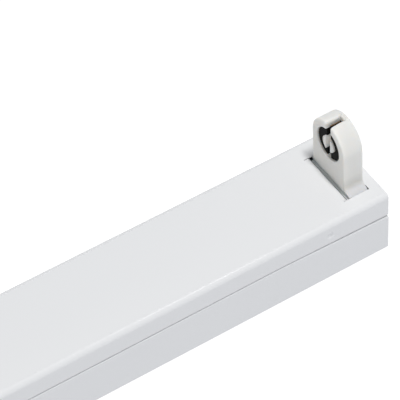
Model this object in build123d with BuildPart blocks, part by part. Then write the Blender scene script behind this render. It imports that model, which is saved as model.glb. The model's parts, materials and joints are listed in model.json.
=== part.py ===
from build123d import *
import math
import os

os.makedirs("parts", exist_ok=True)

# ---------------------------------------------------------------------------
# Single-lamp batten for a 26 mm, two-foot tube with two-pin (12.7 mm) caps.
# X runs along the fitting, Y across it, Z up out of the mounting face.
# The origin is the centre of the flat back that lies on the ceiling or table.
# ---------------------------------------------------------------------------

# overall
face_to_face = 591.6      # between the two lampholder faces
holder_inset = 15.4       # lampholder face to the end of the cover
cover_l = face_to_face + 2 * holder_inset   # 622.4
cover_w = 48.0
top_z = 35.0              # outer top of the cover
part_z = 24.0             # lower edge of the cover skirt
sheet = 0.6               # painted sheet steel
xe = cover_l / 2

# base tray
base_l = cover_l - 0.1
base_w = 48.0
shoulder_z = 23.55        # step on which the skirt closes
skirt_gap = 0.3           # tray flange to the inside of the skirt
flange_l = cover_l - 2 * sheet - 2 * skirt_gap
flange_w = cover_w - 2 * sheet - 2 * skirt_gap
flange_top = 31.0
fold_r = 0.65
shoulder_r = 1.2
slant_x = 257.0           # from here to the ends the parting line drops
shoulder_drop = 2.2
skirt_drop = 1.6

# cover
bend_r = 2.4              # long bends along the top
cover_end_r = 0.55
snap_inset = 30.3         # snap dimple to the end of the cover
snap_z = 27.95
cut_half = 15.0           # lampholder cut-out, half its width
cut_y = -1.3              # its centre
cut_behind = 0.3          # clearance behind the lampholder
tab_gap = 0.5             # turned-down front tab to the lampholder face
tab_r = 2.3               # its outer bend radius
tab_bottom = 32.0
tab_slit = 0.3            # slit at each end of the tab
slit_more = 0.9           # the +Y slit runs on past the bend by this

# fixings in the floor of the tray
slot_spacing = 400.0
slot_len = 14.0
slot_w = 5.2
entry_x = -130.0
entry_r = 8.0
pad_h = 3.0               # pressed-up screw pads
pad_top = sheet + pad_h
screw_hole_r = 1.7

# lampholder
holder_t = 10.0
holder_half = 12.2
axis_z = top_z + 20.2     # lamp axis
holder_wall = 1.4
front_wall = 2.3
foot_out = 16.18          # sloping foot on the -Y side
foot_top = top_z + 2.1
foot_low = top_z - 0.35
neck_top = top_z + 3.0    # below this the face curves back
neck_low = top_z - 1.5
neck_in = 0.8
sill_out = 0.35           # sill in front of the face, below the cover
sill_top = top_z - 1.5
ledge_out = 13.4          # flush ledge on the +Y side
ledge_top = top_z - 0.1
bore_r = 8.25             # opening round the rotor
lip_r = 0.4               # lips of the pin entry
slot_pin = 3.0            # pin entry slot
slot_depth = 7.65
funnel_r = 1.3            # rounded top edge of the pin entry, +Y side
funnel_near = 0.6         # -Y side
lip_near = 2.35           # its -Y wall opens out to this at the face
x0 = xe - holder_inset    # plane of the right lampholder face
xb = x0 + holder_t        # its back
seat_z = 30.5             # bracket shelf the lampholder stands on
stem_half = 9.1
stem_bottom = 22.0
boss_r = 4.2
boss_slot = 3.4
back_t = 1.2

# rotor
rotor_in = 4.3
rotor_out = 8.1
rotor_notch = 2.9
rotor_front = x0 + 0.7
rotor_back = x0 + 8.35

# lampholder bracket
br_t = 0.8
br_half = 17.0
br_leg_x = xe - 19.3
br_foot_x = xe - 34.0
br_back_x = xe - 2.4
br_screw = (xe - 26.5, 9.0)

# ballast
bal_cx = 40.0
bal_l = 150.0
bal_w = 30.0
bal_t = 0.8
bal_h = 20.0
bal_screw = 81.0

# mains terminal block and earth point
tb_x = -85.0
tb_l = 20.0
tb_w = 32.0
tb_h = 13.0
tb_pitch = 10.0
tb_screw_y = 5.0
wire_z = pad_top + 6.4
earth_x, earth_y = -52.0, 14.0

# leads
lead_r = 0.9
lead_y = 19.8
lead_z = sheet + lead_r + 0.1

pads = [
    (bal_cx - bal_screw, 0.0), (bal_cx + bal_screw, 0.0),
    (tb_x, tb_screw_y), (earth_x, earth_y),
    (br_screw[0], br_screw[1]), (br_screw[0], -br_screw[1]),
    (-br_screw[0], br_screw[1]), (-br_screw[0], -br_screw[1]),
]

LOW = (Align.CENTER, Align.CENTER, Align.MIN)


def pan_screws(spots, seat, head_r, head_h, shank_r, shank_l):
    """Pan-head cross-recess screws, head underside at height seat."""
    for sx, sy in spots:
        with Locations((sx, sy, seat)):
            Cylinder(head_r, head_h, align=LOW)
        with Locations((sx, sy, seat - shank_l)):
            Cylinder(shank_r, shank_l, align=LOW)


def cross_recess(spots, top, size, depth):
    for sx, sy in spots:
        with Locations((sx, sy, top - depth)):
            Box(size, size * 0.2, depth + 1, align=LOW, mode=Mode.SUBTRACT)
            Box(size * 0.2, size, depth + 1, align=LOW, mode=Mode.SUBTRACT)


def arc_radii(points):
    """Largest arcs the runs leave room for."""
    radii = []
    for a, b, c in zip(points, points[1:], points[2:]):
        u, v = Vector(*b) - Vector(*a), Vector(*c) - Vector(*b)
        turn = math.radians(u.get_angle(v))
        radii.append(round(min(60.0, 0.45 * min(u.length, v.length) / math.tan(turn / 2)), 3))
    return radii


# ---------------------------------------------------------------------------
# base tray: folded sheet steel with a joggled rim that stands inside the skirt
# ---------------------------------------------------------------------------
with BuildPart() as base_tray:
    with BuildSketch(Plane.XY):
        Rectangle(base_l, base_w)
    extrude(amount=shoulder_z)
    fillet(base_tray.faces().sort_by(Axis.Z)[0].edges(), fold_r)
    # the shoulder drops towards both ends
    shoulder_low = shoulder_z - shoulder_drop
    for sx in (1, -1):
        with BuildSketch(Plane.XZ):
            with BuildLine():
                over = shoulder_drop / (xe - slant_x)
                Polyline((sx * slant_x, shoulder_z), (sx * (xe + 1), shoulder_low - over), (sx * (xe + 1), shoulder_z + 1),
                         (sx * slant_x, shoulder_z + 1), close=True)
            make_face()
        extrude(amount=base_w, both=True, mode=Mode.SUBTRACT)
    rim = base_tray.edges().filter_by(
        lambda e: e.center().Z > 19 and max(abs(e.center().X) - base_l / 2, abs(e.center().Y) - base_w / 2) > -0.01)
    fillet(rim, shoulder_r)
    with BuildSketch(Plane.XY.offset(shoulder_low - 1.0)):
        RectangleRounded(flange_l, flange_w, 0.9)
    extrude(amount=flange_top - shoulder_low + 1.0)
    with BuildSketch(Plane.XZ):
        with BuildLine():
            hx, ht = base_l / 2 - sheet, shoulder_z - sheet
            Polyline((-hx, sheet), (hx, sheet), (hx, ht - shoulder_drop), (slant_x, ht),
                     (-slant_x, ht), (-hx, ht - shoulder_drop), close=True)
        make_face()
    extrude(amount=base_w / 2 - sheet, both=True, mode=Mode.SUBTRACT)
    with BuildSketch(Plane.XY.offset(shoulder_low - sheet - 0.2)):
        RectangleRounded(flange_l - 2 * sheet, flange_w - 2 * sheet, 0.3)
    extrude(amount=flange_top, mode=Mode.SUBTRACT)
    # pressed-up screw pads
    for px, py in pads:
        with Locations((px, py, sheet)):
            Cone(8.4, 6.4, pad_h, align=LOW)
    for px, py in pads:
        with Locations((px, py, 0)):
            Cone(8.08, 6.08, pad_h, align=LOW, mode=Mode.SUBTRACT)
            Cylinder(screw_hole_r, 10, align=LOW, mode=Mode.SUBTRACT)
    # dished cable entry
    with Locations((entry_x, 0, sheet)):
        Cone(14.4, 13.2, 1.4, align=LOW)
    with Locations((entry_x, 0, 0)):
        Cone(14.12, 12.92, 1.4, align=LOW, mode=Mode.SUBTRACT)
        Cylinder(entry_r, 10, align=LOW, mode=Mode.SUBTRACT)
    # fixing slots
    with BuildSketch(Plane.XY.offset(-1)):
        with Locations((slot_spacing / 2, 0), (-slot_spacing / 2, 0)):
            SlotOverall(slot_len, slot_w)
    extrude(amount=3, mode=Mode.SUBTRACT)
    # open corners of the folded ends
    for sx in (1, -1):
        for sy in (1, -1):
            with Locations((sx * (xe - 1.0), sy * 21.9, 1.8)):
                Box(4, 0.35, 40, align=LOW, mode=Mode.SUBTRACT)
    # notches in the rim for the snap dimples
    for sx in (1, -1):
        for sy in (1, -1):
            with Locations((sx * (xe - snap_inset), sy * 23.0, snap_z - 2.4)):
                Box(6.4, 1.2, 20, align=LOW, mode=Mode.SUBTRACT)
    # half-cut knockout rings in the end walls
    for sx in (1, -1):
        with BuildSketch(Plane.YZ.offset(sx * (base_l / 2 - 0.25))):
            with Locations((0, 12.0)):
                Circle(9.4)
                Circle(9.0, mode=Mode.SUBTRACT)
        extrude(amount=sx * 1.0, mode=Mode.SUBTRACT)
base_tray.part.label = "base_tray"
export_step(base_tray.part, "parts/base_tray.step")

# ---------------------------------------------------------------------------
# cover: shallow folded lid with snap dimples and lampholder cut-outs
# ---------------------------------------------------------------------------
with BuildPart() as cover:
    part_low = part_z - skirt_drop
    with BuildSketch(Plane.YZ.offset(-xe)):
        with Locations((0, (top_z + part_low) / 2)):
            r_out = Rectangle(cover_w, top_z - part_low)
        fillet(r_out.vertices().sort_by(Axis.Y)[-2:], bend_r)
    extrude(amount=cover_l)
    for face in (cover.faces().sort_by(Axis.X)[0], cover.faces().sort_by(Axis.X)[-1]):
        rim = face.edges().sort_by(Axis.Z)[1:]
        fillet(rim, cover_end_r)
    with BuildSketch(Plane.YZ.offset(-xe + sheet)):
        with Locations((0, (top_z - sheet + part_low - 2) / 2)):
            r_in = Rectangle(cover_w - 2 * sheet, top_z - sheet - part_low + 2)
        fillet(r_in.vertices().sort_by(Axis.Y)[-2:], bend_r - sheet)
    extrude(amount=cover_l - 2 * sheet, mode=Mode.SUBTRACT)
    # lower edge of the skirt, dropping towards both ends
    with BuildSketch(Plane.XZ):
        with BuildLine():
            edge = part_low - skirt_drop / (xe - slant_x)
            Polyline((-xe - 1, part_low - 3), (xe + 1, part_low - 3), (xe + 1, edge), (slant_x, part_z),
                     (-slant_x, part_z), (-xe - 1, edge), close=True)
        make_face()
    extrude(amount=cover_w, both=True, mode=Mode.SUBTRACT)
    # lampholder cut-outs
    tab_x = x0 - tab_gap
    cut_a, cut_b = tab_x - tab_r, xb + cut_behind
    with BuildSketch(Plane.XY.offset(top_z - 3)):
        with Locations(((cut_a + cut_b) / 2, cut_y), (-(cut_a + cut_b) / 2, cut_y)):
            Rectangle(cut_b - cut_a, 2 * cut_half)
    extrude(amount=6, mode=Mode.SUBTRACT)
    with BuildSketch(Plane.XY.offset(top_z - 3)):
        with Locations((cut_a - slit_more / 2, cut_y + cut_half - tab_slit / 2), (-cut_a + slit_more / 2, cut_y + cut_half - tab_slit / 2)):
            Rectangle(slit_more + 0.2, tab_slit)
    extrude(amount=6, mode=Mode.SUBTRACT)
    # their front edges are turned down as tabs between two short slits
    for sx in (1, -1):
        with BuildSketch(Plane.XZ.offset(-cut_y)):
            with BuildLine():
                s45 = math.sqrt(0.5)
                ci, cz = tab_x - tab_r, top_z - tab_r
                ri = tab_r - sheet
                Line((sx * (ci - 0.3), top_z), (sx * ci, top_z))
                ThreePointArc((sx * ci, top_z), (sx * (ci + tab_r * s45), cz + tab_r * s45), (sx * tab_x, cz))
                Polyline((sx * tab_x, cz), (sx * tab_x, tab_bottom), (sx * (tab_x - sheet), tab_bottom), (sx * (tab_x - sheet), cz))
                ThreePointArc((sx * (tab_x - sheet), cz), (sx * (ci + ri * s45), cz + ri * s45), (sx * ci, top_z - sheet))
                Polyline((sx * ci, top_z - sheet), (sx * (ci - 0.3), top_z - sheet), (sx * (ci - 0.3), top_z))
            make_face()
        extrude(amount=cut_half - tab_slit, both=True)
    # snap dimples: hollow outside, bump inside
    for sx in (1, -1):
        for sy in (1, -1):
            with Locations(Location((sx * (xe - snap_inset), sy * (cover_w / 2 - sheet), snap_z), (sy * 90, 0, 0))):
                Cone(2.3, 1.2, 0.5, align=LOW)
            with Locations((sx * (xe - snap_inset), sy * (cover_w / 2 + 3.55), snap_z)):
                Sphere(4.0, mode=Mode.SUBTRACT)
    # open corners of the folded end skirts
    for sx in (1, -1):
        for sy in (1, -1):
            with Locations((sx * (xe - 0.5), sy * 21.9, part_low - 1)):
                Box(2.4, 0.3, 9.0, align=LOW, mode=Mode.SUBTRACT)
cover.part.label = "cover"
export_step(cover.part, "parts/cover.step")

# ---------------------------------------------------------------------------
# lampholder, right-hand end (the left one is its mirror image)
# ---------------------------------------------------------------------------
with BuildPart() as body_r:
    with BuildSketch(Plane.YZ.offset(x0)) as outline:
        with BuildLine():
            Polyline((holder_half, axis_z), (holder_half, seat_z), (-foot_out, seat_z), (-foot_out, foot_low),
                     (-holder_half, foot_top), (-holder_half, axis_z))
            ThreePointArc((-holder_half, axis_z), (0, axis_z + holder_half), (holder_half, axis_z))
        make_face()
        fillet(outline.vertices().filter_by(lambda v: abs(v.Y - foot_top) < 0.01), 3.0)
    extrude(amount=holder_t)
    front = body_r.faces().sort_by(Axis.X)[0]
    fillet(front.edges().filter_by(lambda e: e.center().Z > seat_z + 0.1), 0.8)
    rear = body_r.faces().sort_by(Axis.X)[-1]
    fillet(rear.edges().filter_by(lambda e: e.center().Z > seat_z + 0.1), 0.8)
    # flush ledge on the far side of the foot
    with BuildSketch(Plane.XY.offset(seat_z)) as ledge:
        with Locations((x0 + holder_t / 2, (ledge_out + 11.0) / 2)):
            Rectangle(holder_t, ledge_out - 11.0)
        fillet(ledge.vertices().sort_by(Axis.Y)[-2:], 0.8)
    extrude(amount=ledge_top - seat_z)
    # the face curves back where it passes through the cover
    with BuildSketch(Plane.XZ):
        with BuildLine():
            neck_h = neck_top - neck_low
            neck_r = (neck_h ** 2 + neck_in ** 2) / (2 * neck_in)
            neck_mid = neck_r - math.sqrt(neck_r ** 2 - (neck_h / 2) ** 2)
            ThreePointArc((x0, neck_top), (x0 + neck_mid, (neck_top + neck_low) / 2), (x0 + neck_in, neck_low))
            Polyline((x0 + neck_in, neck_low), (x0 + neck_in, seat_z - 1), (x0 - 1, seat_z - 1), (x0 - 1, neck_top), (x0, neck_top))
        make_face()
    extrude(amount=foot_out + 1, both=True, mode=Mode.SUBTRACT)
    # sill that closes the gap to the tab
    with Locations((x0 - sill_out, -foot_out, seat_z)):
        Box(sill_out + 1.8, foot_out + ledge_out - 0.6, sill_top - seat_z, align=(Align.MIN, Align.MIN, Align.MIN))
    # stem through the bracket shelf, with two catches
    with BuildSketch(Plane.XY.offset(stem_bottom)):
        with Locations((x0 + 4.85, 0)):
            Rectangle(7.7, 2 * stem_half)
    extrude(amount=seat_z - stem_bottom + 0.5)
    for sy in (1, -1):
        with BuildSketch(Plane.YZ.offset(x0 + 2.85)):
            with BuildLine():
                Polyline((sy * (stem_half - 0.2), seat_z - br_t - 0.1), (sy * (stem_half + 0.8), seat_z - br_t - 0.1),
                         (sy * (stem_half - 0.2), seat_z - br_t - 3.2), close=True)
            make_face()
        extrude(amount=4.0)
    # hollow inside, open at the back and down the stem
    with BuildSketch(Plane.YZ.offset(x0 + front_wall)):
        with BuildLine():
            hi = holder_half - holder_wall
            Polyline((hi, axis_z), (hi, seat_z + 1.6), (-hi, seat_z + 1.6), (-hi, axis_z))
            ThreePointArc((-hi, axis_z), (0, axis_z + hi), (hi, axis_z))
        make_face()
    extrude(amount=holder_t, mode=Mode.SUBTRACT)
    with BuildSketch(Plane.XY.offset(stem_bottom - 1)):
        with Locations((x0 + 4.85, 0)):
            Rectangle(5.3, 2 * (stem_half - 1.2))
    extrude(amount=14, mode=Mode.SUBTRACT)
    # guide walls round the entry slot
    with Locations((x0 + (front_wall + slot_depth + 0.8) / 2, 0, axis_z + 10.15)):
        Box(slot_depth + 1.4 - front_wall, 5.8, 2.3)
    # rotor opening and pin entry with rounded lips, through the front wall
    with BuildSketch(Plane.YZ.offset(x0 - 1)) as mouth:
        with Locations((0, axis_z)):
            Circle(bore_r)
        with Locations((0, axis_z + 10)):
            Rectangle(slot_pin, 10)
        lips = mouth.vertices().filter_by(lambda v: abs(abs(v.X) - slot_pin / 2) < 0.01 and v.Y < axis_z + 10)
        fillet(lips, lip_r)
    extrude(amount=front_wall + 1.5, mode=Mode.SUBTRACT)
    with BuildSketch(Plane.YZ.offset(x0 + front_wall)):
        with Locations((0, axis_z + 11.5)):
            Rectangle(slot_pin, 5.4)
    extrude(amount=slot_depth - front_wall, mode=Mode.SUBTRACT)
    # softened mouth
    mouth_edges = body_r.edges().filter_by(
        lambda e: abs(e.center().X - x0) < 0.01 and math.hypot(e.center().Y, e.center().Z - axis_z) < 10.9)
    fillet(mouth_edges, 0.4)
    # funnel of the pin entry: rounded top edges and back end, one wall opening towards the face
    s45 = math.sqrt(0.5)
    zt = axis_z + holder_half - 0.25
    with BuildSketch(Plane.YZ.offset(x0 - 1)):
        with BuildLine():
            a, r, q = slot_pin / 2, funnel_r, funnel_near
            Polyline((-a - q, zt), (-a - q, zt + 1), (a + r, zt + 1), (a + r, zt))
            ThreePointArc((a + r, zt), (a + r - r * s45, zt - r + r * s45), (a, zt - r))
            Line((a, zt - r), (-a, zt - q))
            ThreePointArc((-a, zt - q), (-a - q + q * s45, zt - q + q * s45), (-a - q, zt))
        make_face()
    extrude(amount=slot_depth + 1, mode=Mode.SUBTRACT)
    with BuildSketch(Plane.XZ):
        with BuildLine():
            xs, rb = x0 + slot_depth, 0.8
            Polyline((xs + rb, zt), (xs + rb, zt + 1), (xs - 0.5, zt + 1), (xs - 0.5, zt - rb), (xs, zt - rb))
            ThreePointArc((xs, zt - rb), (xs + rb - rb * s45, zt - rb + rb * s45), (xs + rb, zt))
        make_face()
    extrude(amount=slot_pin / 2 + 0.7, both=True, mode=Mode.SUBTRACT)
    with BuildSketch(Plane.XY.offset(axis_z + 7.0)):
        with BuildLine():
            Polyline((x0 - 1, -1.4), (x0 - 1, -lip_near - 0.13), (x0 + 6.5, -1.5), (x0 + 6.5, -1.4), close=True)
        make_face()
    extrude(amount=8, mode=Mode.SUBTRACT)

with BuildPart() as back_r:
    with BuildSketch(Plane.YZ.offset(xb - back_t)):
        with BuildLine():
            hb = holder_half - holder_wall - 0.05
            Polyline((hb, axis_z), (hb, seat_z + 1.65), (-hb, seat_z + 1.65), (-hb, axis_z))
            ThreePointArc((-hb, axis_z), (0, axis_z + hb), (hb, axis_z))
        make_face()
    extrude(amount=back_t)
    with BuildSketch(Plane.YZ.offset(x0)):
        with Locations((0, axis_z)):
            Circle(boss_r)
    extrude(amount=holder_t - back_t)
    fillet(back_r.faces().sort_by(Axis.X)[0].edges(), 0.35)
    with BuildSketch(Plane.YZ.offset(x0 - 1)):
        with Locations((0, axis_z)):
            Rectangle(boss_slot, 2 * boss_r + 1)
    extrude(amount=slot_depth + 1, mode=Mode.SUBTRACT)

with BuildPart() as rotor_r:
    with BuildSketch(Plane.YZ.offset(rotor_front)):
        with Locations((0, axis_z)):
            Circle(rotor_out)
            Circle(rotor_in, mode=Mode.SUBTRACT)
    extrude(amount=rotor_back - rotor_front)
    fillet(rotor_r.faces().sort_by(Axis.X)[0].edges(), 0.3)
    with BuildSketch(Plane.YZ.offset(x0 - 1)):
        with Locations((0, axis_z + 6.6), (0, axis_z - 6.6)):
            Rectangle(rotor_notch, 5.2)
    extrude(amount=slot_depth + 1, mode=Mode.SUBTRACT)

with BuildPart() as contacts_r:
    for sy in (1, -1):
        # spring leaf round the rotor
        with BuildSketch(Plane.YZ.offset(x0 + 2.6)):
            with Locations((0, axis_z)):
                Circle(9.1)
                Circle(8.7, mode=Mode.SUBTRACT)
            with BuildLine(mode=Mode.PRIVATE) as keep_line:
                Polyline((sy * 1.7, axis_z), (sy * 1.7, axis_z + 12), (sy * 14, axis_z + 12),
                         (sy * 14, axis_z - 5.72), (sy * 1.7, axis_z - 5.72), close=True)
            make_face(keep_line.edges(), mode=Mode.INTERSECT)
            # flank beside the entry slot and leg down to the terminal
            with Locations((sy * 1.65, axis_z + 8.64)):
                Rectangle(0.4, 0.62)
            with Locations((sy * 6.82, axis_z - 16.2)):
                Rectangle(0.4, 21.6)
        extrude(amount=4.8)

with BuildPart() as bracket_r:
    # shelf, leg, foot
    with BuildSketch(Plane.XZ.offset(-br_half)):
        with BuildLine():
            Polyline((br_foot_x, pad_top), (br_leg_x + br_t, pad_top), (br_leg_x + br_t, seat_z - br_t),
                     (br_back_x, seat_z - br_t), (br_back_x, seat_z), (br_leg_x, seat_z),
                     (br_leg_x, pad_top + br_t), (br_foot_x, pad_top + br_t), close=True)
        make_face()
    extrude(amount=2 * br_half)
    # stiffening side flanges of the shelf
    for sy in (1, -1):
        with Locations(((br_leg_x + br_back_x) / 2, sy * (br_half - br_t / 2), seat_z - 6.0)):
            Box(br_back_x - br_leg_x, br_t, 12.0)
    # window for the stem, window for the leads, screw holes
    with Locations((x0 + 4.85, 0, seat_z)):
        Box(7.9, 2 * (stem_half + 0.1), 4, mode=Mode.SUBTRACT)
    with Locations((br_leg_x, 0, 13.0)):
        Box(4, 20, 13, mode=Mode.SUBTRACT)
    with Locations((br_screw[0], br_screw[1], pad_top - 1), (br_screw[0], -br_screw[1], pad_top - 1)):
        Cylinder(2.1, 4, align=LOW, mode=Mode.SUBTRACT)

handed = {
    "lampholder_body": body_r, "lampholder_back": back_r, "lamp_rotor": rotor_r,
    "lamp_contacts": contacts_r, "holder_bracket": bracket_r,
}
for stem_name, piece in handed.items():
    with BuildPart() as left_piece:
        mirror(piece.part, about=Plane.YZ)
    piece.part.label = stem_name + "_right"
    left_piece.part.label = stem_name + "_left"
    export_step(piece.part, "parts/" + stem_name + "_right.step")
    export_step(left_piece.part, "parts/" + stem_name + "_left.step")

with BuildPart() as bracket_screws:
    spots = [(sx * br_screw[0], sy * br_screw[1]) for sx in (1, -1) for sy in (1, -1)]
    pan_screws(spots, pad_top + br_t, 3.5, 2.4, 1.65, 4.1)
    fillet(bracket_screws.edges().filter_by(GeomType.CIRCLE).group_by(Axis.Z)[-1], 0.9)
    cross_recess(spots, pad_top + br_t + 2.4, 3.6, 1.3)
bracket_screws.part.label = "bracket_screws"
export_step(bracket_screws.part, "parts/bracket_screws.step")

# ---------------------------------------------------------------------------
# electronic ballast
# ---------------------------------------------------------------------------
b0, b1 = bal_cx - bal_l / 2, bal_cx + bal_l / 2
bz = pad_top
with BuildPart() as ballast_base:
    with BuildSketch(Plane.XY.offset(bz)):
        with Locations((bal_cx, 0)):
            RectangleRounded(2 * bal_screw + 12, bal_w - 10, 4)
            Rectangle(bal_l, bal_w)
            with Locations((bal_screw, 0), (-bal_screw, 0)):
                SlotOverall(6.4, 4.3, mode=Mode.SUBTRACT)
    extrude(amount=bal_t)
    for sy in (1, -1):
        with Locations((bal_cx, sy * (bal_w / 2 - bal_t / 2), bz)):
            Box(bal_l, bal_t, bal_h - 1.0, align=LOW)
ballast_base.part.label = "ballast_base"
export_step(ballast_base.part, "parts/ballast_base.step")

with BuildPart() as ballast_cover:
    with BuildSketch(Plane.YZ.offset(b0)):
        with Locations((0, bz + bal_h - 4.5)):
            lid_o = Rectangle(bal_w + 1.4, 11.0)
        fillet(lid_o.vertices().sort_by(Axis.Y)[-2:], 1.4)
        with Locations((0, bz + bal_h - 5.1)):
            Rectangle(bal_w + 0.2, 11.0, mode=Mode.SUBTRACT)
    extrude(amount=bal_l)
    # vent slots pressed through the lid
    with BuildSketch(Plane.XY.offset(bz + bal_h - 2)):
        with GridLocations(8, 0, 7, 1):
            with Locations((bal_cx + 22, 0)):
                SlotOverall(16, 2.0, rotation=90)
    extrude(amount=6, mode=Mode.SUBTRACT)
ballast_cover.part.label = "ballast_cover"
export_step(ballast_cover.part, "parts/ballast_cover.step")

liner_z = bz + bal_t
with BuildPart() as ballast_liner:
    with Locations((bal_cx, 0, liner_z)):
        Box(bal_l - 26, bal_w - 2.2, 0.5, align=LOW)
    for sy in (1, -1):
        with Locations((bal_cx, sy * 12.6, liner_z)):
            Box(bal_l - 26, 2.0, 2.6, align=LOW)
ballast_liner.part.label = "ballast_liner"
export_step(ballast_liner.part, "parts/ballast_liner.step")

pcb_z = liner_z + 2.6
with BuildPart() as ballast_pcb:
    with Locations((bal_cx, 0, pcb_z)):
        Box(bal_l - 26, 27.4, 1.5, align=LOW)
    chamfer(ballast_pcb.edges().filter_by(Axis.Z), 1.0)
ballast_pcb.part.label = "ballast_pcb"
export_step(ballast_pcb.part, "parts/ballast_pcb.step")

top_pcb = pcb_z + 1.5
with BuildPart() as choke_core:
    with BuildSketch(Plane.XZ.offset(-9)):
        with Locations((bal_cx + 18, top_pcb + 5.6)):
            Rectangle(20, 11.2)
            with Locations((6.0, 0), (-6.0, 0)):
                Rectangle(5.0, 7.2, mode=Mode.SUBTRACT)
    extrude(amount=18)
choke_core.part.label = "choke_core"
export_step(choke_core.part, "parts/choke_core.step")

with BuildPart() as choke_coil:
    with BuildSketch(Plane.XY.offset(top_pcb + 2.1)):
        with Locations((bal_cx + 18, 0)):
            RectangleRounded(16.6, 25.0, 4.0)
            Rectangle(7.2, 18.2, mode=Mode.SUBTRACT)
    extrude(amount=7.0)
choke_coil.part.label = "choke_coil"
export_step(choke_coil.part, "parts/choke_coil.step")

with BuildPart() as ballast_capacitors:
    for cy in (-6.5, 6.5):
        with Locations(Location((bal_cx - 40, cy, top_pcb + 5.3), (0, 90, 0))):
            Cylinder(5.2, 20)
    fillet(ballast_capacitors.edges().filter_by(GeomType.CIRCLE), 0.6)
ballast_capacitors.part.label = "ballast_capacitors"
export_step(ballast_capacitors.part, "parts/ballast_capacitors.step")

with BuildPart() as film_capacitors:
    with Locations((bal_cx - 14, -6, top_pcb), (bal_cx - 14, 6, top_pcb), (bal_cx + 42, 0, top_pcb)):
        Box(13, 7, 10, align=LOW)
    fillet(film_capacitors.edges().filter_by(Axis.Z), 0.8)
film_capacitors.part.label = "film_capacitors"
export_step(film_capacitors.part, "parts/film_capacitors.step")

# terminals fill the two open ends of the ballast case
term_z = bz + bal_t
pole_y = (-11.0, -4.0, 4.0, 11.0)
pole_z = term_z + 8.0
with BuildPart() as ballast_input_terminal:
    with Locations((b0 + 6.2, 0, term_z)):
        Box(12.4, 28.0, bal_h - 2.0, align=LOW)
    chamfer(ballast_input_terminal.faces().sort_by(Axis.X)[0].edges(), 0.8)
    for py in pole_y:
        with Locations(Location((b0 + 4.0, py, pole_z), (0, 90, 0))):
            Cylinder(1.25, 9.0, mode=Mode.SUBTRACT)
        with Locations((b0 + 1.5, py, pole_z + 5.0)):
            Box(4.0, 2.6, 1.6, mode=Mode.SUBTRACT)
ballast_input_terminal.part.label = "ballast_input_terminal"
export_step(ballast_input_terminal.part, "parts/ballast_input_terminal.step")

with BuildPart() as ballast_output_terminal:
    with Locations((b1 - 6.2, 0, term_z)):
        Box(12.4, 28.0, bal_h - 2.0, align=LOW)
    chamfer(ballast_output_terminal.faces().sort_by(Axis.X)[-1].edges(), 0.8)
    for py in (-4.0, 4.0):
        with Locations(Location((b1 - 4.0, py, pole_z), (0, 90, 0))):
            Cylinder(1.25, 9.0, mode=Mode.SUBTRACT)
        with Locations((b1 - 1.5, py, pole_z + 5.0)):
            Box(4.0, 2.6, 1.6, mode=Mode.SUBTRACT)
ballast_output_terminal.part.label = "ballast_output_terminal"
export_step(ballast_output_terminal.part, "parts/ballast_output_terminal.step")

with BuildPart() as ballast_screws:
    spots = [(bal_cx - bal_screw, 0.0), (bal_cx + bal_screw, 0.0)]
    pan_screws(spots, bz + bal_t, 3.5, 2.4, 1.65, 4.1)
    fillet(ballast_screws.edges().filter_by(GeomType.CIRCLE).group_by(Axis.Z)[-1], 0.9)
    cross_recess(spots, bz + bal_t + 2.4, 3.6, 1.3)
ballast_screws.part.label = "ballast_screws"
export_step(ballast_screws.part, "parts/ballast_screws.step")

# ---------------------------------------------------------------------------
# mains terminal block, three poles
# ---------------------------------------------------------------------------
poles = (-tb_pitch, 0.0, tb_pitch)
with BuildPart() as terminal_block:
    with Locations((tb_x, 0, pad_top)):
        Box(tb_l, tb_w, tb_h - 3.2, align=LOW)
    with Locations([(tb_x, py, pad_top) for py in poles]):
        Box(tb_l - 2.0, 7.6, tb_h, align=LOW)
    fillet(terminal_block.edges().filter_by(Axis.X).group_by(Axis.Z)[-1], 1.0)
    for py in poles:
        with Locations((tb_x, py, wire_z)):
            Box(17.0, 5.2, 6.2, mode=Mode.SUBTRACT)
        with Locations(Location((tb_x, py, wire_z), (0, 90, 0))):
            Cylinder(1.9, tb_l + 2, mode=Mode.SUBTRACT)
        with Locations((tb_x - 5, py, wire_z), (tb_x + 5, py, wire_z)):
            Cylinder(2.0, 20, align=LOW, mode=Mode.SUBTRACT)
    for hy in (tb_screw_y, -tb_screw_y):
        with Locations((tb_x, hy, pad_top - 1)):
            Cylinder(1.8, 20, align=LOW, mode=Mode.SUBTRACT)
        with Locations((tb_x, hy, pad_top + tb_h - 3.2)):
            Cylinder(2.9, 10, align=LOW, mode=Mode.SUBTRACT)
terminal_block.part.label = "terminal_block"
export_step(terminal_block.part, "parts/terminal_block.step")

with BuildPart() as terminal_inserts:
    for py in poles:
        with Locations((tb_x, py, wire_z)):
            Box(16.8, 5.0, 6.0)
        with Locations(Location((tb_x, py, wire_z), (0, 90, 0))):
            Cylinder(1.6, 20, mode=Mode.SUBTRACT)
        with Locations((tb_x - 5, py, wire_z), (tb_x + 5, py, wire_z)):
            Cylinder(1.35, 10, align=LOW, mode=Mode.SUBTRACT)
terminal_inserts.part.label = "terminal_inserts"
export_step(terminal_inserts.part, "parts/terminal_inserts.step")

with BuildPart() as terminal_screws:
    for py in poles:
        for dx in (-5, 5):
            with Locations((tb_x + dx, py, wire_z + 1.0)):
                Cylinder(1.3, 2.2, align=LOW)
            with Locations((tb_x + dx, py, wire_z + 3.1)):
                Cylinder(1.85, 2.4, align=LOW)
            with Locations((tb_x + dx, py, wire_z + 4.7)):
                Box(4.2, 0.6, 2, align=LOW, mode=Mode.SUBTRACT)
terminal_screws.part.label = "terminal_screws"
export_step(terminal_screws.part, "parts/terminal_screws.step")

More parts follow.
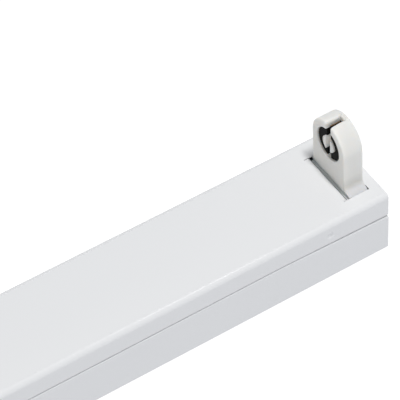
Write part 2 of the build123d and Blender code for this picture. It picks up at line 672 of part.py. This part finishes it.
with BuildPart() as terminal_fixing_screw:
    seat = pad_top + tb_h - 3.2
    pan_screws([(tb_x, tb_screw_y)], seat, 2.7, 2.0, 1.6, seat - 0.9)
    fillet(terminal_fixing_screw.edges().filter_by(GeomType.CIRCLE).group_by(Axis.Z)[-1], 0.7)
    cross_recess([(tb_x, tb_screw_y)], seat + 2.0, 2.8, 1.1)
terminal_fixing_screw.part.label = "terminal_fixing_screw"
export_step(terminal_fixing_screw.part, "parts/terminal_fixing_screw.step")

# ---------------------------------------------------------------------------
# earth point
# ---------------------------------------------------------------------------
with BuildPart() as earth_lug:
    with BuildSketch(Plane.XY.offset(pad_top)):
        with Locations((earth_x, earth_y)):
            Circle(4.0)
            with Locations((0, -4.5)):
                Rectangle(3.4, 5.0)
            Circle(2.1, mode=Mode.SUBTRACT)
    extrude(amount=0.8)
    with BuildSketch(Plane.XZ.offset(-(earth_y - 5.0))):
        with Locations((earth_x, pad_top + 1.7)):
            Circle(1.7)
            Circle(0.95, mode=Mode.SUBTRACT)
    extrude(amount=5.0)
earth_lug.part.label = "earth_lug"
export_step(earth_lug.part, "parts/earth_lug.step")

with BuildPart() as earth_washer:
    with BuildSketch(Plane.XY.offset(pad_top + 0.8)):
        with Locations((earth_x, earth_y)):
            Circle(3.9)
            Circle(2.1, mode=Mode.SUBTRACT)
            with PolarLocations(3.9, 10):
                Rectangle(0.7, 0.7, mode=Mode.SUBTRACT)
    extrude(amount=0.6)
earth_washer.part.label = "earth_washer"
export_step(earth_washer.part, "parts/earth_washer.step")

with BuildPart() as earth_screw:
    seat = pad_top + 1.4
    pan_screws([(earth_x, earth_y)], seat, 3.5, 2.4, 1.65, 4.6)
    fillet(earth_screw.edges().filter_by(GeomType.CIRCLE).group_by(Axis.Z)[-1], 0.9)
    cross_recess([(earth_x, earth_y)], seat + 2.4, 3.6, 1.3)
earth_screw.part.label = "earth_screw"
export_step(earth_screw.part, "parts/earth_screw.step")

# ---------------------------------------------------------------------------
# rubber grommet in the dished cable entry
# ---------------------------------------------------------------------------
with BuildPart() as cable_grommet:
    with Locations((entry_x, 0, 0.3)):
        Cylinder(11.5, 1.1, align=LOW)
    with Locations((entry_x, 0, 1.3)):
        Cylinder(entry_r - 0.05, 0.8, align=LOW)
    with Locations((entry_x, 0, 2.0)):
        Cylinder(10.5, 1.6, align=LOW)
    fillet(cable_grommet.edges().filter_by(GeomType.CIRCLE).filter_by(lambda e: e.radius > 9), 0.4)
    with Locations((entry_x, 0, -1)):
        Cylinder(4.5, 8, align=LOW, mode=Mode.SUBTRACT)
cable_grommet.part.label = "cable_grommet"
export_step(cable_grommet.part, "parts/cable_grommet.step")

# ---------------------------------------------------------------------------
# internal leads: straight runs joined by tangent arcs
# ---------------------------------------------------------------------------
hx = x0 + 4.85
routes = {
    "lamp_leads_right": [
        [(b1 - 7.5, sy * 4.0, pole_z), (b1 + 16, sy * 4.0, pole_z), (b1 + 48, sy * lead_y, lead_z),
         (230.0, sy * lead_y, lead_z), (hx - 17, sy * 5.7, 10.0), (hx, sy * 5.7, 11.0), (hx, sy * 5.7, 29.0)]
        for sy in (1, -1)],
    "lamp_leads_left": [
        [(b0 + 7.5, sy * 11.0, pole_z), (b0 - 15, sy * 11.0, pole_z), (b0 - 36, sy * lead_y, lead_z),
         (-230.0, sy * lead_y, lead_z), (-hx + 17, sy * 5.7, 10.0), (-hx, sy * 5.7, 11.0), (-hx, sy * 5.7, 29.0)]
        for sy in (1, -1)],
    "live_lead": [
        [(tb_x + 4.0, -tb_pitch, wire_z), (tb_x + 20, -tb_pitch, wire_z), (b0 - 16, -4.0, pole_z), (b0 + 7.5, -4.0, pole_z)]],
    "neutral_lead": [
        [(tb_x + 4.0, tb_pitch, wire_z), (tb_x + 20, tb_pitch, wire_z), (b0 - 16, 4.0, pole_z), (b0 + 7.5, 4.0, pole_z)]],
    "earth_lead": [
        [(tb_x + 4.0, 0.0, wire_z), (tb_x + 18, 0.0, wire_z), (earth_x, -4.5, pad_top + 1.7), (earth_x, earth_y - 5.5, pad_top + 1.7)]],
}
for lead_name, runs in routes.items():
    with BuildPart() as leads:
        for pts in runs:
            radii = arc_radii(pts)
            with BuildLine() as path:
                FilletPolyline(*pts, radius=radii)
            with BuildSketch(Plane(origin=path.line @ 0, z_dir=path.line % 0)):
                Circle(lead_r)
            sweep()
            print(lead_name, "length", round(sum(e.length for e in path.edges()), 1), "radii", radii)
    leads.part.label = lead_name
    export_step(leads.part, "parts/" + lead_name + ".step")

with BuildPart() as wire_clips:
    clip_spots = [(sx * cx, sy * lead_y) for sx in (1, -1) for sy in (1, -1) for cx in (182.0, 210.0)]
    clip_spots += [(-118.0, lead_y), (-118.0, -lead_y)]
    for cx, cy in clip_spots:
        with Locations((cx, cy, sheet)):
            Box(5.0, 4.4, 3.0, align=LOW)
    fillet(wire_clips.edges().filter_by(Axis.X).group_by(Axis.Z)[-1], 1.0)
    for cx, cy in clip_spots:
        with Locations(Location((cx, cy, lead_z), (0, 90, 0))):
            Cylinder(lead_r + 0.05, 8, mode=Mode.SUBTRACT)
wire_clips.part.label = "wire_clips"
export_step(wire_clips.part, "parts/wire_clips.step")
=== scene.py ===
import json
import math

import bmesh
import bpy
from mathutils import Matrix, Vector

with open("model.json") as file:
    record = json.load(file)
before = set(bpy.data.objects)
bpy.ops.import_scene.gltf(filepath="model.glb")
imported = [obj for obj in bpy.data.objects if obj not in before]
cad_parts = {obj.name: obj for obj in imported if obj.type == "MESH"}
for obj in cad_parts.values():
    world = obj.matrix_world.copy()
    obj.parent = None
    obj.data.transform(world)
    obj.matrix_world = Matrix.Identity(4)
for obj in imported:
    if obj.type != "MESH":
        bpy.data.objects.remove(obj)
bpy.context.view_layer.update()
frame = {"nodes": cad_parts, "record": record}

nodes = frame["nodes"]
scene = bpy.context.scene
MM = 0.001


# ---------------------------------------------------------------------------
# camera: long lens, looking down on the right-hand end
# ---------------------------------------------------------------------------
def make_camera():
    az, el, roll = math.radians(-27.166), math.radians(48.852), math.radians(-5.485)
    back = Vector((math.sin(az) * math.cos(el), -math.cos(az) * math.cos(el), math.sin(el)))
    right = Vector((math.cos(az), math.sin(az), 0.0))
    up = back.cross(right)
    r2 = right * math.cos(roll) + up * math.sin(roll)
    u2 = up * math.cos(roll) - right * math.sin(roll)
    data = bpy.data.cameras.new("photo_camera")
    data.sensor_fit = "HORIZONTAL"
    data.sensor_width = 36.0
    data.lens = 36.0 * 1907.97 / 400.0
    data.clip_start, data.clip_end = 0.05, 100.0
    cam = bpy.data.objects.new("photo_camera", data)
    scene.collection.objects.link(cam)
    m = Matrix((r2, u2, back)).transposed().to_4x4()
    m.translation = Vector((311.0 - 317.299, -464.507, 657.905)) * MM
    cam.matrix_world = m
    scene.camera = cam
    return cam


make_camera()


# ---------------------------------------------------------------------------
# node helpers
# ---------------------------------------------------------------------------
class Net:
    """A material's node tree with short ways to add and wire nodes."""

    def __init__(self, name):
        self.mat = bpy.data.materials.new(name)
        self.mat.use_nodes = True
        self.t = self.mat.node_tree
        self.t.nodes.clear()
        self.out = self.t.nodes.new("ShaderNodeOutputMaterial")
        self.bsdf = self.t.nodes.new("ShaderNodeBsdfPrincipled")
        self.t.links.new(self.bsdf.outputs["BSDF"], self.out.inputs["Surface"])
        self.co = self.t.nodes.new("ShaderNodeTexCoord").outputs["Object"]

    def add(self, kind, **props):
        n = self.t.nodes.new(kind)
        for k, v in props.items():
            setattr(n, k, v)
        return n

    def link(self, a, b):
        self.t.links.new(a, b)

    def stretch(self, scale):
        m = self.add("ShaderNodeMapping")
        m.inputs["Scale"].default_value = scale
        self.link(self.co, m.inputs["Vector"])
        return m.outputs["Vector"]

    def noise(self, scale, detail=3.0, rough=0.5, vec=None, distortion=0.0):
        n = self.add("ShaderNodeTexNoise")
        n.inputs["Scale"].default_value = scale
        n.inputs["Detail"].default_value = detail
        n.inputs["Roughness"].default_value = rough
        n.inputs["Distortion"].default_value = distortion
        self.link(vec or self.co, n.inputs["Vector"])
        return n.outputs["Fac"]

    def voronoi(self, scale, feature="F1", vec=None):
        n = self.add("ShaderNodeTexVoronoi", feature=feature)
        n.inputs["Scale"].default_value = scale
        self.link(vec or self.co, n.inputs["Vector"])
        return n.outputs["Distance"]

    def remap(self, value, lo, hi, out_lo, out_hi):
        n = self.add("ShaderNodeMapRange")
        n.inputs["From Min"].default_value = lo
        n.inputs["From Max"].default_value = hi
        n.inputs["To Min"].default_value = out_lo
        n.inputs["To Max"].default_value = out_hi
        self.link(value, n.inputs["Value"])
        return n.outputs["Result"]

    def mix(self, fac, a, b):
        n = self.add("ShaderNodeMix", data_type="RGBA")
        for socket, value in ((n.inputs[6], a), (n.inputs[7], b)):
            if isinstance(value, tuple):
                socket.default_value = (*value, 1.0)
            else:
                self.link(value, socket)
        self.link(fac, n.inputs[0])
        return n.outputs[2]

    def bump(self, height, distance, strength, normal=None):
        n = self.add("ShaderNodeBump")
        n.inputs["Distance"].default_value = distance
        n.inputs["Strength"].default_value = strength
        self.link(height, n.inputs["Height"])
        if normal is not None:
            self.link(normal, n.inputs["Normal"])
        return n.outputs["Normal"]

    def set(self, **values):
        names = {"metallic": "Metallic", "ior": "IOR", "specular": "Specular IOR Level", "coat": "Coat Weight",
                 "coat_rough": "Coat Roughness", "sss": "Subsurface Weight", "sss_scale": "Subsurface Scale",
                 "sss_radius": "Subsurface Radius", "roughness": "Roughness", "aniso": "Anisotropic",
                 "alpha": "Alpha", "transmission": "Transmission Weight"}
        for k, v in values.items():
            self.bsdf.inputs[names[k]].default_value = v

    def wire(self, colour=None, rough=None, normal=None, metallic=None):
        for name, sock in (("Base Color", colour), ("Roughness", rough), ("Normal", normal), ("Metallic", metallic)):
            if sock is not None:
                self.link(sock, self.bsdf.inputs[name])
        return self.mat


def powder_coat():
    """Semi-gloss white powder coat: fine orange peel over a slow change of film thickness."""
    n = Net("white_powder_coat")
    slow = n.noise(9.0, 2.0, 0.5, n.stretch((0.35, 1.0, 1.0)))
    peel = n.noise(620.0, 2.0, 0.45)
    fine = n.noise(2600.0, 2.0, 0.5)
    colour = n.mix(n.remap(slow, 0.3, 0.7, 0.0, 1.0), (0.800, 0.806, 0.818), (0.832, 0.836, 0.844))
    rough = n.remap(n.noise(150.0, 3.0, 0.6), 0.3, 0.7, 0.19, 0.25)
    normal = n.bump(peel, 0.00006, 0.10)
    normal = n.bump(fine, 0.00001, 0.08, normal)
    n.set(specular=0.5, ior=1.5)
    return n.wire(colour, rough, normal)


def moulded(name, light, dark, rough_lo, rough_hi, grain=2200.0, depth=0.00002, sss=0.0, coat=0.0, spec=0.45, painted_holder_shade=None):
    """Moulded thermoplastic: faint flow marks, spark-eroded grain, uneven gloss; optionally painted shade on a foot,
    in the crease above it and on the face below the cover's level.
    """
    n = Net(name)
    flow = n.noise(140.0, 3.0, 0.55, n.stretch((1.0, 1.0, 0.35)), 0.4)
    colour = n.mix(n.remap(flow, 0.3, 0.7, 0.0, 1.0), dark, light)
    if painted_holder_shade:
        # painted shade: the foot's slope, the crease above it and the face below the cover's level are coloured
        # darker in place of shading
        tone, y_from, y_to, crease_shade_tone, z_from, z_to = painted_holder_shade
        split = n.add("ShaderNodeSeparateXYZ")
        n.link(n.co, split.inputs[0])
        side = n.remap(split.outputs["Y"], y_from + 0.0012, y_from + 0.0003, 0.0, 1.0)
        crease_shade_mask = n.add("ShaderNodeMath", operation="MULTIPLY")
        n.link(side, crease_shade_mask.inputs[0])
        n.link(n.remap(split.outputs["Z"], z_from, z_to, 0.0, 1.0), crease_shade_mask.inputs[1])
        # painted shade: the lower near face darkens towards the crease with the foot
        colour = n.mix(crease_shade_mask.outputs[0], colour, crease_shade_tone)
        # painted shade: the face below the cover's level turns greyer and darker, standing in for shade in the gap
        colour = n.mix(n.remap(split.outputs["Z"], 0.0370, 0.0348, 0.0, 1.0), colour, (0.790, 0.812, 0.795))
        # painted shade: the foot's slope coloured darker in place of the shade it sits in
        colour = n.mix(n.remap(split.outputs["Y"], y_from, y_to, 0.0, 1.0), colour, tone)
    rough = n.remap(n.noise(420.0, 3.0, 0.6), 0.3, 0.7, rough_lo, rough_hi)
    normal = n.bump(n.noise(grain, 3.0, 0.6), depth, 0.25)
    n.set(specular=spec, coat=coat)
    if sss:
        n.set(sss=sss, sss_scale=0.003, sss_radius=(1.0, 0.9, 0.8))
    return n.wire(colour, rough, normal)


def spangle(name):
    """Galvanised sheet: large soft spangle with a fine rolled grain."""
    n = Net(name)
    cells = n.voronoi(160.0)
    colour = n.mix(n.remap(cells, 0.0, 0.7, 0.0, 1.0), (0.50, 0.51, 0.52), (0.66, 0.67, 0.68))
    rough = n.remap(cells, 0.0, 0.7, 0.30, 0.48)
    normal = n.bump(n.noise(900.0, 3.0, 0.6, n.stretch((0.1, 1.0, 1.0))), 0.00002, 0.2)
    n.set(metallic=1.0)
    return n.wire(colour, rough, normal)


def plated(name, light, dark, rough_lo, rough_hi, stretch=(1.0, 1.0, 1.0), grain=1500.0, depth=0.00001, metal=1.0):
    """Plated or rolled metal with drawn grain and slight tarnish."""
    n = Net(name)
    tarnish = n.noise(260.0, 4.0, 0.6)
    colour = n.mix(n.remap(tarnish, 0.32, 0.68, 0.0, 1.0), dark, light)
    drawn = n.noise(grain, 2.0, 0.5, n.stretch(stretch))
    rough = n.remap(drawn, 0.3, 0.7, rough_lo, rough_hi)
    normal = n.bump(drawn, depth, 0.25)
    n.set(metallic=metal)
    return n.wire(colour, rough, normal)


def insulation(name, light, dark, stripe=None):
    """Extruded lead insulation, with an optional second colour along it."""
    n = Net(name)
    blotch = n.noise(300.0, 2.0, 0.5)
    colour = n.mix(n.remap(blotch, 0.3, 0.7, 0.0, 1.0), dark, light)
    if stripe:
        wave = n.noise(520.0, 0.0, 0.0, n.stretch((0.04, 1.0, 1.0)))
        colour = n.mix(n.remap(wave, 0.48, 0.52, 0.0, 1.0), colour, stripe)
    rough = n.remap(n.noise(900.0, 2.0, 0.5), 0.3, 0.7, 0.32, 0.46)
    normal = n.bump(n.noise(1400.0, 2.0, 0.5, n.stretch((0.15, 1.0, 1.0))), 0.00002, 0.2)
    return n.wire(colour, rough, normal)


def board():
    """Lacquered circuit board: weave showing faintly through, copper lands underneath."""
    n = Net("board_green")
    weave = n.add("ShaderNodeTexChecker")
    weave.inputs["Scale"].default_value = 1600.0
    n.link(n.co, weave.inputs["Vector"])
    tracks = n.voronoi(170.0, "DISTANCE_TO_EDGE")
    base = n.mix(n.remap(weave.outputs["Fac"], 0.0, 1.0, 0.0, 1.0), (0.045, 0.19, 0.075), (0.055, 0.215, 0.085))
    colour = n.mix(n.remap(tracks, 0.05, 0.09, 1.0, 0.0), base, (0.10, 0.30, 0.13))
    rough = n.remap(n.noise(700.0, 3.0, 0.6), 0.3, 0.7, 0.28, 0.42)
    normal = n.bump(tracks, 0.00004, 0.3)
    return n.wire(colour, rough, normal)


def winding():
    """Layer of enamelled wire."""
    n = Net("winding_copper")
    w = n.add("ShaderNodeTexWave", wave_type="BANDS", bands_direction="Z")
    w.inputs["Scale"].default_value = 700.0
    w.inputs["Distortion"].default_value = 0.6
    n.link(n.co, w.inputs["Vector"])
    colour = n.mix(w.outputs["Fac"], (0.22, 0.06, 0.02), (0.62, 0.25, 0.10))
    rough = n.remap(w.outputs["Fac"], 0.0, 1.0, 0.45, 0.25)
    n.set(metallic=0.8)
    return n.wire(colour, rough, n.bump(w.outputs["Fac"], 0.00012, 0.6))


def rubber():
    n = Net("grommet_black")
    dust = n.noise(380.0, 4.0, 0.65)
    colour = n.mix(n.remap(dust, 0.4, 0.75, 0.0, 1.0), (0.018, 0.018, 0.018), (0.05, 0.049, 0.047))
    rough = n.remap(dust, 0.3, 0.7, 0.55, 0.75)
    return n.wire(colour, rough, n.bump(n.noise(1800.0, 3.0, 0.6), 0.00003, 0.3))


def ferrite():
    n = Net("ferrite_grey")
    speck = n.noise(1900.0, 4.0, 0.7)
    colour = n.mix(n.remap(speck, 0.35, 0.7, 0.0, 1.0), (0.030, 0.030, 0.033), (0.085, 0.085, 0.09))
    rough = n.remap(speck, 0.3, 0.7, 0.5, 0.7)
    return n.wire(colour, rough, n.bump(speck, 0.00003, 0.35))


mats = {
    "white_paint": powder_coat(),
    # the holder's last argument paints shade on its foot, the crease above it and below the cover's level
    "holder_white": moulded("holder_warm_white", (0.900, 0.875, 0.825), (0.870, 0.845, 0.795), 0.34, 0.46, sss=0.8,
                            painted_holder_shade=((0.730, 0.724, 0.730), -0.01225, -0.0136, (0.735, 0.717, 0.680), 0.0436, 0.0380)),
    "rotor_black": moulded("rotor_black", (0.010, 0.0095, 0.009), (0.006, 0.006, 0.006), 0.48, 0.60, depth=0.00003, spec=0.03),
    "contact_copper": plated("contact_bronze", (0.84, 0.58, 0.38), (0.62, 0.40, 0.24), 0.34, 0.50, (1.0, 1.0, 0.12), metal=0.5),
    "galvanised": spangle("galvanised_sheet"),
    "zinc_screw": plated("zinc_plate", (0.72, 0.73, 0.74), (0.55, 0.56, 0.58), 0.22, 0.38),
    "insulating_film": moulded("liner_film", (0.74, 0.72, 0.64), (0.66, 0.64, 0.56), 0.30, 0.42, sss=0.1),
    "circuit_board": board(),
    "ferrite": ferrite(),
    "enamelled_wire": winding(),
    "capacitor_sleeve": moulded("capacitor_sleeve", (0.030, 0.045, 0.11), (0.020, 0.030, 0.08), 0.22, 0.34),
    "film_capacitor": moulded("film_capacitor_red", (0.56, 0.12, 0.05), (0.44, 0.085, 0.035), 0.20, 0.32),
    "terminal_white": moulded("terminal_natural", (0.82, 0.81, 0.765), (0.76, 0.75, 0.70), 0.38, 0.52, sss=0.15),
    "terminal_brass": plated("terminal_brass", (0.78, 0.60, 0.30), (0.60, 0.42, 0.18), 0.20, 0.36, (0.1, 1.0, 1.0)),
    "tinned_lug": plated("tinned_copper", (0.74, 0.74, 0.72), (0.60, 0.60, 0.58), 0.26, 0.44),
    "grommet_rubber": rubber(),
    "lead_white": insulation("lead_white", (0.84, 0.84, 0.83), (0.77, 0.77, 0.75)),
    "lead_brown": insulation("lead_brown", (0.20, 0.085, 0.04), (0.14, 0.06, 0.028)),
    "lead_blue": insulation("lead_blue", (0.045, 0.15, 0.50), (0.03, 0.11, 0.40)),
    "lead_green": insulation("lead_green_yellow", (0.09, 0.40, 0.10), (0.06, 0.31, 0.075), (0.75, 0.62, 0.05)),
    "clip_nylon": moulded("clip_nylon", (0.79, 0.785, 0.75), (0.72, 0.715, 0.68), 0.40, 0.55, sss=0.15),
}

slot_of = {s["node"]: s["material_slot"] for s in frame["record"]["subparts"]}
for name, obj in nodes.items():
    obj.data.materials.clear()
    obj.data.materials.append(mats[slot_of[name]])


# ---------------------------------------------------------------------------
# stage and light
# ---------------------------------------------------------------------------
def make_stage():
    bm = bmesh.new()
    bmesh.ops.create_grid(bm, x_segments=2, y_segments=2, size=30.0)
    me = bpy.data.meshes.new("floor")
    bm.to_mesh(me)
    bm.free()
    floor = bpy.data.objects.new("floor", me)
    floor.location = (0, 0, -0.0002)
    scene.collection.objects.link(floor)
    n = Net("floor_white")
    tone = n.noise(3.0, 2.0, 0.5)
    colour = n.mix(tone, (0.05, 0.05, 0.05), (0.06, 0.06, 0.06))
    n.set(roughness=0.9, specular=0.1)
    n.wire(colour)
    glow = n.add("ShaderNodeEmission")
    glow.inputs["Color"].default_value = (0.95, 0.965, 1.0, 1)
    glow.inputs["Strength"].default_value = 0.90
    white = n.add("ShaderNodeEmission")
    white.inputs["Strength"].default_value = 1.04
    path = n.add("ShaderNodeLightPath")
    mix = n.add("ShaderNodeMixShader")
    n.link(path.outputs["Is Camera Ray"], mix.inputs[0])
    n.link(glow.outputs[0], mix.inputs[1])
    n.link(white.outputs[0], mix.inputs[2])
    both = n.add("ShaderNodeAddShader")
    n.link(n.bsdf.outputs[0], both.inputs[0])
    n.link(mix.outputs[0], both.inputs[1])
    n.link(both.outputs[0], n.out.inputs["Surface"])
    me.materials.append(n.mat)

    world = bpy.data.worlds.new("studio")
    scene.world = world
    world.use_nodes = True
    t = world.node_tree
    t.nodes.clear()
    out = t.nodes.new("ShaderNodeOutputWorld")
    lit = t.nodes.new("ShaderNodeBackground")
    lit.inputs["Color"].default_value = (0.97, 0.985, 1.0, 1)
    lit.inputs["Strength"].default_value = 0.38
    seen = t.nodes.new("ShaderNodeBackground")
    seen.inputs["Color"].default_value = (1, 1, 1, 1)
    seen.inputs["Strength"].default_value = 1.0
    path = t.nodes.new("ShaderNodeLightPath")
    mix = t.nodes.new("ShaderNodeMixShader")
    t.links.new(path.outputs["Is Camera Ray"], mix.inputs[0])
    t.links.new(lit.outputs[0], mix.inputs[1])
    t.links.new(seen.outputs[0], mix.inputs[2])
    t.links.new(mix.outputs[0], out.inputs["Surface"])

    def area(name, loc, target, size, power, colour=(1, 1, 1)):
        d = bpy.data.lights.new(name, "AREA")
        d.shape = "RECTANGLE"
        d.size, d.size_y = size
        d.energy = power
        d.color = colour
        o = bpy.data.objects.new(name, d)
        o.location = loc
        o.rotation_mode = "QUATERNION"
        o.rotation_quaternion = (Vector(target) - Vector(loc)).to_track_quat("-Z", "Y")
        o.visible_camera = False
        scene.collection.objects.link(o)
        return o

    key = area("key_box", (0.405, -0.42, 2.0), (0.25, 0, 0), (0.16, 0.50), 25.8)
    key.visible_glossy = False
    strip = area("sparkle_box", (0.76, 0.10, 2.0), (0.25, 0, 0), (0.14, 0.16), 2.6)
    strip.visible_diffuse = False
    scene.view_settings.view_transform = "Standard"
    scene.view_settings.look = "None"


make_stage()
